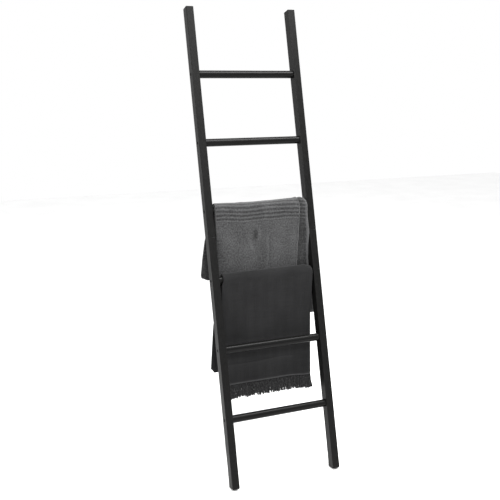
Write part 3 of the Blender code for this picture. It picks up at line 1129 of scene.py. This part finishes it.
# %% Mix the weave
WEAVE_PITCH = 0.0012
WEAVE_DARK = (0.0046, 0.0046, 0.0048)
WEAVE_LIGHT = (0.0160, 0.0160, 0.0164)
# The lightest tone, reached on the lighter hem line and the painted highlight on the wrinkle's step
WEAVE_HEM_AND_HIGHLIGHT = tuple(2.1 * part for part in WEAVE_LIGHT)
WEAVE_PAINTED_LIGHT = 0.45

throw_weave, tree, shader = start_material(
    "throw_weave", Roughness=0.92, Specular_IOR_Level=0.06, Sheen_Weight=0.05
)
turns = math.tau / (2 * WEAVE_PITCH)
place = cloth_place(tree, (turns, turns, 1))
threads = node(tree, "ShaderNodeSeparateXYZ", Vector=place).outputs
wave_x, wave_y = (calc(tree, "SINE", threads[axis]) for axis in ("X", "Y"))
humps = calc(tree, "MULTIPLY", wave_x, wave_y)
warp = noise(tree, cloth_place(tree, (700, 14, 1)), 1.0, 3.0)
weft = noise(tree, cloth_place(tree, (14, 700, 1)), 1.0, 3.0)
drift = noise(tree, cloth_place(tree, (9, 7, 1)), 1.0, 3.0)
tone = calc(tree, "MULTIPLY_ADD", weft, 0.5, calc(tree, "MULTIPLY", warp, 0.5))
tone = calc(tree, "MULTIPLY_ADD", drift, 0.30, calc(tree, "MULTIPLY", tone, 0.7))
# The mesh's painted light and shade lightens or darkens the tone
tone = with_painted_light(tree, calc(tree, "MULTIPLY_ADD", humps, 0.05, tone), WEAVE_PAINTED_LIGHT)
colour = ramp(tree, tone, [(0.28, WEAVE_DARK), (0.74, WEAVE_LIGHT), (1.0, WEAVE_HEM_AND_HIGHLIGHT)])
tree.links.new(colour, shader.inputs["Base Color"])
height = calc(tree, "MULTIPLY_ADD", humps, 0.3, calc(tree, "ADD", warp, weft))
tree.links.new(bump(tree, height, 0.0005, 0.7), shader.inputs["Normal"])
print("mixed", throw_weave.name)

# %% Make the throw
throw_painted_light_values = throw_painted_light(throw_flat_places[:, :, 0])
throw = close_cloth("charcoal_throw", throw_places, throw_weave, throw_painted_light_values)
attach(throw, "throw")
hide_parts("throw")

# %% [markdown]
# ## Fringe yarn
#
# At each end of the throw the cross threads stop and the long threads are twisted together in
# bunches. That is the fringe. The bunches are the throw's own yarn, so they have its colour. Loose
# ends catch more light than the weave does, and the twist shows as short slanting lines.

# %% Mix the yarn
YARN_DARK = (0.0045, 0.0045, 0.0047)
YARN_LIGHT = (0.0150, 0.0150, 0.0154)

fringe_yarn, tree, shader = start_material(
    "fringe_yarn", Roughness=0.9, Specular_IOR_Level=0.10, Sheen_Weight=0.10
)
fibres = noise(tree, object_place(tree, (420, 420, 60)), 1.0, 3.0)
twist = noise(tree, object_place(tree, (900, 900, 520), (0.0, 0.6, 0.0)), 1.0, 1.0)
tone = calc(tree, "MULTIPLY_ADD", twist, 0.35, calc(tree, "MULTIPLY", fibres, 0.65))
colour = ramp(tree, tone, [(0.36, YARN_DARK), (0.64, YARN_LIGHT)])
tree.links.new(colour, shader.inputs["Base Color"])
tree.links.new(bump(tree, tone, 0.0006, 0.7), shader.inputs["Normal"])
print("mixed", fringe_yarn.name)

# %% [markdown]
# ## The fringe
#
# A Geometry Nodes tree makes one twisted bunch with a few flat faces, sets it along the hem in
# rows, and lets every bunch have its own length, turn and lean. Then a noise bends them a little,
# more towards their tips, and the ones at the right end splay outwards.

# %% Twist one bunch
FRINGE_ROWS = 3
BUNCH_SIDES = 5
BUNCH_RINGS = 10
BUNCH_FLATTEN = (1.0, 0.55, 1.0)
BUNCH_TWIST = 0.75

fringe_sizes = {
    "Count": 195,
    "Thickness": 0.0018,
    "Length": 0.060,
    "Left": THROW_LEFT + 0.004,
    "Right": 0.1855,
    "Front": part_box("throw_fringe")[0].y + 0.0012,
    "Row Step": 0.0017,
    "Hem": throw_hem + 0.0006,
    "Seed": 17,
    "Finish": fringe_yarn,
}
fringe_tree, given, output = start_tree("fringe_on_hem", fringe_sizes)

down = vector_of(fringe_tree, z=calc(fringe_tree, "MULTIPLY", given["Length"], -1.0))
spine = node(fringe_tree, "GeometryNodeCurvePrimitiveLine", End=down).outputs[0]
spine = node(
    fringe_tree, "GeometryNodeResampleCurve", Curve=spine, Count=BUNCH_RINGS
).outputs[0]
index = node(fringe_tree, "GeometryNodeInputIndex").outputs[0]
tilt = calc(fringe_tree, "MULTIPLY", index, BUNCH_TWIST)
spine = node(fringe_tree, "GeometryNodeSetCurveTilt", Curve=spine, Tilt=tilt).outputs[0]
section = node(
    fringe_tree,
    "GeometryNodeCurvePrimitiveCircle",
    Resolution=BUNCH_SIDES,
    Radius=given["Thickness"],
).outputs[0]
section = move(fringe_tree, section, Scale=BUNCH_FLATTEN)
bunch = node(
    fringe_tree, "GeometryNodeCurveToMesh", Curve=spine, Profile_Curve=section, Fill_Caps=True
).outputs[0]
print("fringe:", FRINGE_ROWS, "rows of", fringe_sizes["Count"], "bunches")

# %% Set the bunches in rows
BUNCH_SHIFT = ((-0.0013, -0.0003, -0.0006), (0.0013, 0.0003, 0.0012))
BUNCH_TURN = ((-0.04, -0.05, 0.0), (0.02, 0.05, math.tau))
BUNCH_SIZE = ((0.95, 0.95, 0.74), (1.3, 1.3, 1.05))


def vary(low_high, seed):
    """A random vector for each point, between a low one and a high one."""
    mixed = calc(fringe_tree, "ADD", given["Seed"], float(seed))
    made = node(fringe_tree, "FunctionNodeRandomValue", {"data_type": "FLOAT_VECTOR"})
    live = [socket for socket in made.inputs if socket.enabled]
    live[0].default_value, live[1].default_value = low_high
    fringe_tree.links.new(mixed, made.inputs["Seed"])
    return next(socket for socket in made.outputs if socket.enabled)


def place_parts():
    """Each point's place, and its parts."""
    place = node(fringe_tree, "GeometryNodeInputPosition").outputs[0]
    return place, node(fringe_tree, "ShaderNodeSeparateXYZ", Vector=place).outputs


def rise(value, first, last, height, kind="LINEAR"):
    """From 0 at the first value to a height at the last."""
    return node(
        fringe_tree,
        "ShaderNodeMapRange",
        {"interpolation_type": kind},
        _0=value,
        _1=first,
        _2=last,
        _3=0.0,
        _4=height,
    ).outputs[0]


span = calc(fringe_tree, "SUBTRACT", given["Right"], given["Left"])
step = calc(fringe_tree, "DIVIDE", span, calc(fringe_tree, "SUBTRACT", given["Count"], 1.0))
rows = []
for row in range(FRINGE_ROWS):
    y = calc(fringe_tree, "MULTIPLY_ADD", given["Row Step"], float(row), given["Front"])
    first = vector_of(fringe_tree, given["Left"], y, given["Hem"])
    line = points_in_row(fringe_tree, given["Count"], first, vector_of(fringe_tree, step))
    x = place_parts()[1]["X"]
    drop = rise(x, HEM_DROPS_FROM, HEM_DROPS_FROM + HEM_DROPS_OVER, HEM_DROP, "SMOOTHSTEP")
    drop = vector_of(fringe_tree, z=drop)
    shift = vector_calc(fringe_tree, "ADD", drop, vary(BUNCH_SHIFT, 10 + row))
    line = node(fringe_tree, "GeometryNodeSetPosition", Geometry=line, Offset=shift).outputs[0]
    turn, size = vary(BUNCH_TURN, 20 + row), vary(BUNCH_SIZE, 30 + row)
    rows.append(set_on(fringe_tree, line, bunch, Rotation=turn, Scale=size))

# %% Bend the bunches
WAVER_SCALE = (150, 150, 14)
WAVER_LEAN = (0.016, 0.004, 0.0)
SPLAY_FROM, SPLAY_TO, SPLAY_OUT = 0.172, 0.188, 0.009
FRINGE_CREASE = 100

real = node(
    fringe_tree, "GeometryNodeRealizeInstances", Geometry=join(fringe_tree, rows)
).outputs[0]
place, parts = place_parts()
below = calc(fringe_tree, "SUBTRACT", given["Hem"], parts["Z"])
below = calc(fringe_tree, "MAXIMUM", calc(fringe_tree, "DIVIDE", below, given["Length"]), 0.0)
below = calc(fringe_tree, "POWER", below, 2.0)
waver = node(
    fringe_tree,
    "ShaderNodeTexNoise",
    Vector=vector_calc(fringe_tree, "MULTIPLY", place, WAVER_SCALE),
    Scale=1.0,
    Detail=1.0,
).outputs["Color"]
waver = vector_calc(fringe_tree, "SUBTRACT", waver, (0.5, 0.5, 0.5))
waver = vector_calc(fringe_tree, "MULTIPLY", waver, WAVER_LEAN)
splay = vector_of(fringe_tree, rise(parts["X"], SPLAY_FROM, SPLAY_TO, SPLAY_OUT))
bend = node(
    fringe_tree,
    "ShaderNodeVectorMath",
    {"operation": "SCALE"},
    Vector=vector_calc(fringe_tree, "ADD", waver, splay),
    Scale=below,
).outputs[0]
bent = node(fringe_tree, "GeometryNodeSetPosition", Geometry=real, Offset=bend).outputs[0]
finish_tree(fringe_tree, bent, given["Finish"], output)

# %% Hang the fringe
fringe = grow("throw_fringe_bunches", fringe_tree, fringe_sizes, crease=FRINGE_CREASE)
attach(fringe, "throw")
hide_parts("throw_fringe")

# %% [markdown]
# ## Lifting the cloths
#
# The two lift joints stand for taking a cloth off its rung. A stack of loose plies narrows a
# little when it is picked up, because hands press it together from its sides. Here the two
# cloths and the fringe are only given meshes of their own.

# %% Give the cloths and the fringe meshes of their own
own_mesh(towel)
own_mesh(throw)
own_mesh(fringe)
